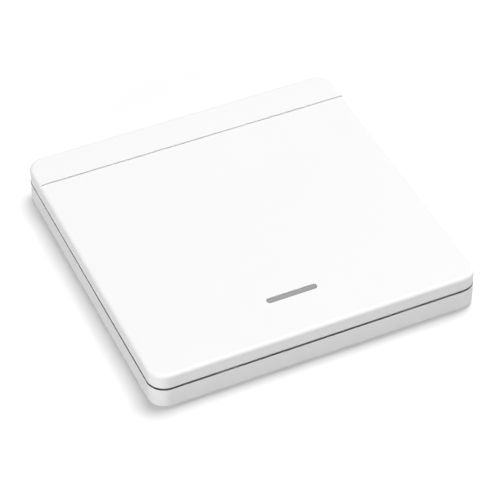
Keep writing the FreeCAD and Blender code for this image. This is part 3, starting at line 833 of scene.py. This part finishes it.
# Board: tracks, stitching vias along its edges and lands round the screw holes
TRACK_PATHS = (
    ((12.0, -17.3), (12.0, -19.0), (11.8, -20.1)),
    ((14.0, -17.3), (14.0, -19.0), (14.2, -20.1)),
    ((15.5, -13.8), (17.2, -13.8)),
    ((15.5, -15.3), (16.9, -16.8), (17.2, -16.8)),
    ((10.5, -14.8), (8.8, -14.8)),
    ((10.5, -13.3), (10.0, -12.4), (8.8, -11.8)),
    ((7.2, -11.8), (5.4, -10.0), (5.4, -8.3), (7.2, -8.3)),
    ((8.8, -8.3), (13.2, -3.9), (13.2, 11.4)),
    ((18.8, -13.8), (20.4, -12.2), (20.4, 4.0), (13.2, 11.2)),
    ((-4.3, -11.5), (-5.6, -10.2), (-5.6, -9.3), (-7.2, -8.3)),
    ((-8.8, -8.3), (-13.0, -4.0), (-13.0, 11.8)),
    ((-14.0, -10.1), (-14.0, -6.0), (-13.0, -4.8)),
    ((-7.3, -14.8), (-10.2, -14.8), (-10.2, -20.8), (-13.2, -20.8)),
    ((-7.3, -16.8), (-8.6, -18.1), (-8.6, -24.0), (-13.2, -24.0), (-14.0, -23.2)),
    ((-5.7, -14.8), (-4.3, -16.1)),
    ((4.3, -16.1), (6.0, -17.8), (6.0, -21.3), (8.2, -21.3)),
    ((-2.5, -29.9), (-5.0, -29.9), (-7.0, -27.9), (-7.0, -17.6)),
    ((-0.5, -29.9), (4.0, -29.9), (9.8, -24.1), (9.8, -21.3)),
    ((-14.8, -20.8), (-18.0, -24.0), (-18.0, -28.0), (-15.3, -30.6)),
)
COPPER = 0.06
board_low, board_high = span_mm("circuit_board")
board_z = board_high.z
paths = [[(x, y, board_z) for x, y in path] for path in TRACK_PATHS]
mesh = along(paths, copper_track, width=0.35, thickness=COPPER, corner_radius=0.6)
add_piece("board_tracks", mesh)

VIA_PITCH = 3.0
VIA_INSET = 1.0
via_points = []
for row in range(1, int((board_high.y - board_low.y) / VIA_PITCH)):
    for x in (board_low.x + VIA_INSET, board_high.x - VIA_INSET):
        via_points.append((x, board_low.y + row * VIA_PITCH, board_z))
mesh = grown(RING, via_points, gold_land, radius=0.3, width=0.2, height=COPPER, steps=16)
add_piece("board_vias", mesh)

screws = [middle(span) for span in bodies_mm("board_screws")]
land_points = [(screw.x, screw.y, board_z) for screw in screws]
mesh = grown(RING, land_points, gold_land, radius=1.8, width=1.0, height=COPPER, steps=40)
add_piece("screw_lands", mesh)

# Board screws on the corners of one rectangle
HEAD_RADIUS = 1.9
SHANK_RADIUS = 0.8
screw_low, screw_high = span_mm("board_screws")
screw_outline = (
    (0.0, screw_high.z),
    (1.25, screw_high.z - 0.08),
    (HEAD_RADIUS, screw_high.z - 0.62),
    (HEAD_RADIUS, board_z),
    (SHANK_RADIUS, board_z),
    (SHANK_RADIUS, screw_low.z + 0.45),
    (0.35, screw_low.z),
    (0.0, screw_low.z),
)
four = {"columns": 2, "rows": 2}
left, right = min(screw.x for screw in screws), max(screw.x for screw in screws)
front, back = min(screw.y for screw in screws), max(screw.y for screw in screws)
mesh = turned_mesh(
    screw_outline,
    FINISHES["screw_zinc"],
    SCREW,
    **four,
    array_width=right - left,
    array_depth=back - front,
    x=(left + right) / 2,
    y=(front + back) / 2,
    corner_radius=0.2,
    head_top=screw_high.z,
)
add_piece("screws", mesh, "board_screws")

# Switch: pegs that hold the cover, bent terminals, snap dome and stem
PEG_RADIUS = 0.45
PEG_SPACING = 4.8
on_switch = {"x": switch_middle.x, "y": switch_middle.y}
cover_z = span_mm("tact_switch_cover")[1].z
peg_outline = (
    (0.0, cover_z + 0.15),
    (PEG_RADIUS, cover_z + 0.12),
    (PEG_RADIUS, cover_z - 0.1),
    (0.0, cover_z - 0.1),
)
mesh = turned_mesh(
    peg_outline,
    FINISHES["switch_black"],
    **four,
    **on_switch,
    array_width=PEG_SPACING,
    array_depth=PEG_SPACING,
    corner_radius=0.12,
    turning_steps=20,
)
add_piece("switch_pegs", mesh)

TERMINAL_SHEET = 0.25
terminal_paths = []
for low, high in bodies_mm("tact_switch_terminals"):
    y = (low.y + high.y) / 2
    side = 1 if low.x > switch_middle.x else -1
    foot_x, riser_x = (high.x, low.x) if side > 0 else (low.x, high.x)
    riser_x += side * TERMINAL_SHEET / 2
    foot_z = low.z + TERMINAL_SHEET / 2
    terminal_paths.append([(foot_x, y, foot_z), (riser_x, y, foot_z), (riser_x, y, high.z)])
finish = FINISHES[SILVER]
mesh = along(terminal_paths, finish, width=0.7, thickness=TERMINAL_SHEET, corner_radius=0.25)
add_piece("switch_terminals", mesh, "tact_switch_terminals")

DOME_SHEET = 0.1
DOME_CROWN_RADIUS = 0.8
dome_low, dome_high = span_mm("tact_switch_dome")
dome_outline = (
    (0.0, dome_high.z),
    (DOME_CROWN_RADIUS, dome_high.z),
    (2.15, dome_low.z),
    (2.0, dome_low.z),
    (DOME_CROWN_RADIUS, dome_high.z - DOME_SHEET),
    (0.0, dome_high.z - DOME_SHEET),
)
mesh = turned_mesh(dome_outline, FINISHES["dome_steel"], **on_switch)
snap_dome = add_piece("snap_dome", mesh, "tact_switch_dome")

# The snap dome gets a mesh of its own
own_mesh(snap_dome)

STEM_RADIUS = 1.7
STEM_FLANGE_RADIUS = 2.0
flange_top = span_mm("tact_switch_base")[1].z - 0.05
stem_outline = (
    (0.0, stem_low.z),
    (STEM_FLANGE_RADIUS, stem_low.z),
    (STEM_FLANGE_RADIUS, flange_top),
    (STEM_RADIUS, flange_top),
    (STEM_RADIUS, stem_high.z),
    (0.0, stem_high.z),
)
mesh = turned_mesh(stem_outline, FINISHES["stem_white"], **on_switch, corner_radius=0.1)
add_piece("stem_moulding", mesh, "tact_switch_plunger", "stem")

# Coin cell: can, cap and gasket, each with its node and the radius of its corners
cap_low, cap_high = span_mm("coin_cell_cap")
gasket_low, gasket_high = span_mm("coin_cell_gasket")
can_radius = cell_high.x - cell_middle.x
gasket_radius = gasket_high.x - cell_middle.x
cap_radius = cap_high.x - cell_middle.x
can_outline = (
    (0.0, cell_high.z),
    (can_radius, cell_high.z),
    (can_radius, cell_low.z),
    (gasket_radius, cell_low.z),
    (gasket_radius, gasket_high.z),
    (0.0, gasket_high.z),
)
cap_outline = (
    (0.0, cap_high.z),
    (cap_radius, cap_high.z),
    (cap_radius, cap_low.z + 0.4),
    (cap_radius - 0.5, cap_low.z),
    (0.0, cap_low.z),
)
gasket_outline = (
    (cap_radius, gasket_high.z),
    (gasket_radius, gasket_high.z),
    (gasket_radius, gasket_low.z),
    (cap_radius, gasket_low.z),
    (cap_radius, gasket_high.z),
)
CELL_PIECES = {
    "cell_can": ("coin_cell_can", can_outline, 0.35),
    "cell_cap": ("coin_cell_cap", cap_outline, 0.3),
    "cell_gasket": ("coin_cell_gasket", gasket_outline, 0.1),
}
in_cell = {"x": cell_middle.x, "y": cell_middle.y, "turning_steps": 96}
for name, (node, outline, radius) in CELL_PIECES.items():
    mesh = turned_mesh(outline, FINISHES[slots[node]], **in_cell, corner_radius=radius)
    add_piece(name, mesh, node)

# Contacts bent from strip: node, path along X and Z, and the radius of their bends
CONTACT_SHEET = 0.25
half_sheet = CONTACT_SHEET / 2
plus_low, plus_high = span_mm("battery_positive_contact")
minus_low, minus_high = span_mm("battery_negative_contact")
plus_riser_x = plus_high.x - 2.4 - half_sheet
plus_foot_z, plus_arm_z = plus_low.z + half_sheet, plus_high.z - half_sheet
minus_foot_z, minus_crest_z = minus_low.z + half_sheet, minus_high.z - half_sheet
plus_path = (
    (plus_high.x, plus_foot_z),
    (plus_riser_x, plus_foot_z),
    (plus_riser_x, plus_arm_z),
    (plus_low.x, plus_arm_z),
)
minus_path = (
    (minus_low.x, minus_foot_z),
    (cell_middle.x - 4.0, minus_foot_z),
    (cell_middle.x - 1.0, minus_crest_z),
    (cell_middle.x + 1.0, minus_crest_z),
    (cell_middle.x + 4.0, minus_foot_z),
    (minus_high.x, minus_foot_z),
)
CONTACTS = {
    "plus_contact": ("battery_positive_contact", plus_path, 0.4),
    "minus_contact": ("battery_negative_contact", minus_path, 1.0),
}
for name, (node, path, bend) in CONTACTS.items():
    low, high = span_mm(node)
    path = [(x, (low.y + high.y) / 2, z) for x, z in path]
    sizes = {"width": high.y - low.y, "thickness": CONTACT_SHEET, "corner_radius": bend}
    add_piece(name, along([path], FINISHES[slots[node]], **sizes), node)

# Light source: carrier with gold ends and a clear dome
CARRIER_HEIGHT = 0.3
led = span_mm("status_led")
led_foot, led_top = led[0].z, led[1].z
carrier_top = led_foot + CARRIER_HEIGHT
heights = (carrier_top, carrier_top + 0.05, led_top)
mesh = drafted_block(led, (0.35, 0.02), heights, FINISHES["led_clear"], draft=0.1, edge=0.12)
add_piece("led_dome", mesh, "status_led")
heights = (led_foot, led_foot + CARRIER_HEIGHT / 2, carrier_top)
mesh = drafted_block(led, (0.15, 0.0), heights, FINISHES["antenna_ceramic"], draft=0.01, edge=0.03)
add_piece("led_carrier", mesh)
sizes = {"length": 0.3, "width": 1.1, "height": CARRIER_HEIGHT + 0.02}
mesh = grown(BLOCK, two_ends(led, 0.16), gold_land, edge=0.03, **sizes)
add_piece("led_ends", mesh)

# Controller chip: body, side pads and the dimple at pin 1
PAD_PITCH = 0.5
PADS_PER_SIDE = 8
PAD_WIDTH = 0.25
PAD_INSET = 0.13
DIMPLE_INSET = 0.8
chip = chip_low, chip_high = span_mm("controller_chip")
heights = (chip_low.z, chip_low.z + 0.25, chip_high.z)
mesh = drafted_block(chip, (0.02, 0.02), heights, FINISHES["chip_black"], draft=0.02, edge=0.06)
add_piece("chip_body", mesh, "controller_chip")
pad_points = []
for i in range(PADS_PER_SIDE):
    step = (i - (PADS_PER_SIDE - 1) / 2) * PAD_PITCH
    for y in (chip_low.y + PAD_INSET, chip_high.y - PAD_INSET):
        pad_points.append((middle(chip).x + step, y, chip_low.z))
    for x in (chip_low.x + PAD_INSET, chip_high.x - PAD_INSET):
        pad_points.append((x, middle(chip).y + step, chip_low.z))
mesh = grown(BLOCK, pad_points, tin_end, length=PAD_WIDTH, width=PAD_WIDTH, height=0.22)
add_piece("chip_pads", mesh)
dimple = [(chip_low.x + DIMPLE_INSET, chip_high.y - DIMPLE_INSET, chip_high.z - 0.01)]
mesh = grown(RING, dimple, FINISHES["chip_black"], radius=0.3, width=0.08, height=0.02, steps=24)
add_piece("chip_dimple", mesh)

# Crystal: ceramic tub and metal lid
LID_HEIGHT = 0.3
crystal = crystal_low, crystal_high = span_mm("crystal_can")
tub_top = crystal_high.z - LID_HEIGHT
heights = (crystal_low.z, crystal_low.z + 0.2, tub_top)
mesh = drafted_block(crystal, (0.0, 0.0), heights, crystal_ceramic, draft=0.01, edge=0.05)
add_piece("crystal_tub", mesh)
heights = (tub_top - 0.02, tub_top, crystal_high.z)
mesh = drafted_block(crystal, (0.12, 0.12), heights, FINISHES["crystal_steel"], draft=0.06, edge=0.08)
add_piece("crystal_lid", mesh, "crystal_can")

# Chip antenna: ceramic bar, folded silver conductor and end caps
CONDUCTOR = 0.03
FOLDS = 7
FOLD_REACH = 0.6
CAP_LENGTH = 0.4
antenna = antenna_low, antenna_high = span_mm("chip_antenna")
_, antenna_y, _ = middle(antenna)
heights = (antenna_low.z, antenna_low.z + 0.4, antenna_high.z - CONDUCTOR)
mesh = drafted_block(antenna, (0.02, 0.02), heights, FINISHES["antenna_ceramic"], draft=0.01, edge=0.06)
add_piece("antenna_bar", mesh, "chip_antenna")
fold_start = antenna_low.x + 2 * CAP_LENGTH
fold_step = (antenna_high.x - antenna_low.x - 4 * CAP_LENGTH) / FOLDS
fold_z = antenna_high.z - CONDUCTOR / 2
fold_path = [(antenna_low.x + CAP_LENGTH, antenna_y - FOLD_REACH, fold_z)]
for i in range(FOLDS + 1):
    side = -FOLD_REACH if i % 2 == 0 else FOLD_REACH
    for y in (antenna_y + side, antenna_y - side):
        fold_path.append((fold_start + i * fold_step, y, fold_z))
fold_path.append((antenna_high.x - CAP_LENGTH, fold_path[-1][1], fold_z))
finish = FINISHES[SILVER]
mesh = along([fold_path], finish, width=0.2, thickness=CONDUCTOR, corner_radius=0.1)
add_piece("antenna_conductor", mesh)
_, width, height = antenna_high - antenna_low
sizes = {"length": CAP_LENGTH, "width": width, "height": height}
mesh = grown(BLOCK, two_ends(antenna, CAP_LENGTH / 2), tin_end, edge=0.05, **sizes)
add_piece("antenna_ends", mesh)

# Bulk capacitor: moulded body, bar at the positive end, and leads folded under
LEAD_SHEET = 0.15
BAR_INSET = 0.45
bulk = bulk_low, bulk_high = span_mm("bulk_capacitor")
bulk_x = middle(bulk).x
parting_z = bulk_low.z + 1.3
heights = (bulk_low.z + LEAD_SHEET, parting_z, bulk_high.z - 0.02)
mesh = drafted_block(bulk, (0.0, 0.3), heights, FINISHES["tantalum_yellow"], draft=0.2, edge=0.15)
add_piece("bulk_body", mesh, "bulk_capacitor")
bar = [(bulk_x, bulk_high.y - 1.4, bulk_high.z - 0.06)]
bar_length = bulk_high.x - bulk_low.x - 2 * BAR_INSET
mesh = grown(BLOCK, bar, polarity_ink, length=bar_length, width=0.9, height=0.05)
add_piece("bulk_bar", mesh)
lead_paths = []
for end_y, inward in ((bulk_low.y, 1), (bulk_high.y, -1)):
    outer_y = end_y + inward * LEAD_SHEET / 2
    foot_z = bulk_low.z + LEAD_SHEET / 2
    path = (
        (end_y + inward * 1.5, foot_z),
        (outer_y, foot_z),
        (outer_y, parting_z),
        (end_y + inward * 0.6, parting_z),
    )
    lead_paths.append([(bulk_x, y, z) for y, z in path])
mesh = along(lead_paths, tin_end, width=2.4, thickness=LEAD_SHEET, corner_radius=0.15)
add_piece("bulk_leads", mesh)

# Small two-ended components: inset bodies and slightly larger tinned ends
END_LENGTH = 0.32
BODY_LIFT = 0.02
BODY_INSET = 0.03


def terminated_chips(node, kind, slot, body_height, replaced=None):
    """The bodies and ends of one kind; gives back the outer feet of its ends."""
    spans = bodies_mm(node)
    length, width, height = spans[0][1] - spans[0][0]
    points = [(middle(span).x, middle(span).y, span[0].z + BODY_LIFT) for span in spans]
    sizes = {"length": length - END_LENGTH, "width": width - 2 * BODY_INSET, "height": body_height}
    mesh = grown(BLOCK, points, FINISHES[slot], edge=0.03, **sizes)
    add_piece(kind + "_bodies", mesh, replaced)
    points = [point for span in spans for point in two_ends(span, END_LENGTH / 2)]
    sizes = {"length": END_LENGTH, "width": width, "height": height}
    mesh = grown(BLOCK, points, tin_end, edge=0.05, **sizes)
    add_piece(kind + "_ends", mesh)
    return [point for span in spans for point in two_ends(span, 0.0)]


chip_feet = terminated_chips("chip_capacitors", "capacitor", "capacitor_tan", 0.75, "chip_capacitors")
chip_feet += terminated_chips("chip_resistors", "resistor", "antenna_ceramic", 0.37)
glaze_points = [(*middle(span).xy, span[0].z + 0.36) for span in bodies_mm("chip_resistors")]
sizes = {"length": 0.9, "width": 0.72, "height": 0.07}
mesh = grown(BLOCK, glaze_points, FINISHES["resistor_black"], edge=0.03, **sizes)
add_piece("resistor_glazes", mesh, "chip_resistors")

# Solder along the outer foot of each end, terminal, contact and lead: middles and half lengths
solder_z = board_z + 0.05
along_y = [(x, y, 0.38) for x, y, _ in chip_feet]
along_y += [(path[0][0], path[0][1], 0.5) for path in terminal_paths]
along_y += [(plus_high.x, middle((plus_low, plus_high)).y, 2.4)]
along_y += [(minus_low.x, middle((minus_low, minus_high)).y, 1.9)]
along_x = [(bulk_x, bulk_low.y, 1.3), (bulk_x, bulk_high.y, 1.3)]
paths = [[(x, y - half, solder_z), (x, y + half, solder_z)] for x, y, half in along_y]
paths += [[(x - half, y, solder_z), (x + half, y, solder_z)] for x, y, half in along_x]
mesh = along(paths, tin_end, edge=0.06, width=0.3, thickness=0.16, corner_radius=0.0)
add_piece("solder_fillets", mesh)


# Floor, backdrop, lamps and camera


def seen_directly(tree):
    """1 for camera, glossy and transmission rays, 0 for diffuse ones."""
    path = add_node(tree, "ShaderNodeLightPath").outputs
    seen = path["Is Camera Ray"]
    for ray in ("Is Glossy Ray", "Is Transmission Ray"):
        seen = add_node(tree, "ShaderNodeMath", {0: seen, 1: path[ray]}, {"operation": "MAXIMUM"})
    return seen


def white_floor():
    """A pale floor that the camera and reflections see as white paper with the switch's soft shadow."""
    mesh = bpy.data.meshes.new("floor")
    corners = ((-1, -1), (1, -1), (1, 1), (-1, 1))
    points = [(x * FLOOR_HALF, y * FLOOR_HALF, -FLOOR_DROP) for x, y in corners]
    mesh.from_pydata(points, [], [(0, 1, 2, 3)])
    floor = linked("floor", mesh)
    material = bpy.data.materials.new("white_paper_floor")
    tree = cleared_tree(material)
    seen = seen_directly(tree)
    inputs = {0: seen, 6: linear_from_hex(FLOOR_SHADE), 7: WHITE}
    colour = add_node(tree, "ShaderNodeMix", inputs, {"data_type": "RGBA"})
    paper = add_node(tree, "ShaderNodeBsdfDiffuse", {"Color": colour.outputs[2]})
    inputs = {"Vector": add_node(tree, "ShaderNodeTexCoord").outputs["Object"]}
    away = add_node(tree, "ShaderNodeVectorMath", inputs, {"operation": "LENGTH"})
    inputs = {
        "Value": away.outputs["Value"],
        "From Min": FLOOR_WHITE_FROM,
        "From Max": FLOOR_WHITE_AT,
        "To Min": FLOOR_LIFT,
        "To Max": 1.0,
    }
    lift = add_node(tree, "ShaderNodeMapRange", inputs)
    strength = add_node(tree, "ShaderNodeMath", {0: seen, 1: lift}, {"operation": "MULTIPLY"})
    glow = add_node(tree, "ShaderNodeEmission", {"Color": WHITE, "Strength": strength})
    total = add_node(tree, "ShaderNodeAddShader", {0: paper, 1: glow})
    add_node(tree, "ShaderNodeOutputMaterial", {"Surface": total})
    mesh.materials.append(material)


def direction_to(azimuth, elevation):
    """Unit vector towards an azimuth and elevation in degrees."""
    turn = math.radians(azimuth)
    tilt = math.radians(elevation)
    return Vector((math.sin(turn) * math.cos(tilt), -math.cos(turn) * math.cos(tilt), math.sin(tilt)))


def disc_lamp(name, azimuth, elevation, diameter, level):
    """A round lamp aimed at the switch; a white sheet that faces it renders at the level given."""
    direction = direction_to(azimuth, elevation)
    light = bpy.data.lights.new(name, "AREA")
    light.shape = "DISK"
    light.size = diameter
    light.energy = level * math.pi ** 2 * LAMP_DISTANCE ** 2
    lamp = linked(name, light)
    lamp.location = direction * LAMP_DISTANCE
    lamp.rotation_euler = direction.to_track_quat("Z", "Y").to_euler()


def white_surroundings():
    """Surroundings that the camera and reflections see as white, and that add no light to the switch."""
    world = bpy.data.worlds.new("studio")
    tree = cleared_tree(world)
    inputs = {"Color": WHITE, "Strength": seen_directly(tree)}
    background = add_node(tree, "ShaderNodeBackground", inputs)
    add_node(tree, "ShaderNodeOutputWorld", {"Surface": background})
    bpy.context.scene.world = world


def photo_camera():
    """The camera at the photograph's place, turned by its small roll."""
    roll = math.radians(CAMERA_ROLL)
    back = direction_to(CAMERA_AZIMUTH, CAMERA_ELEVATION)
    level = (-back).cross(Vector((0, 0, 1))).normalized()
    upright = level.cross(-back)
    right = level * math.cos(roll) + upright * math.sin(roll)
    up = upright * math.cos(roll) - level * math.sin(roll)
    camera = bpy.data.cameras.new("camera")
    camera.sensor_width = SENSOR_MM
    camera.lens = FOCAL_LENGTH_PX / FRAME_PX * SENSOR_MM
    camera.clip_start = 0.01
    viewer = linked("camera", camera)
    turn = Matrix((right, up, back)).transposed().to_4x4()
    place = Vector(CAMERA_TARGET) * MM + back * CAMERA_DISTANCE * MM
    viewer.matrix_world = Matrix.Translation(place) @ turn
    bpy.context.scene.camera = viewer


white_floor()
white_surroundings()
for lamp_name, settings in LAMPS.items():
    disc_lamp(lamp_name, *settings)
photo_camera()
bpy.context.scene.view_settings.view_transform = "Standard"
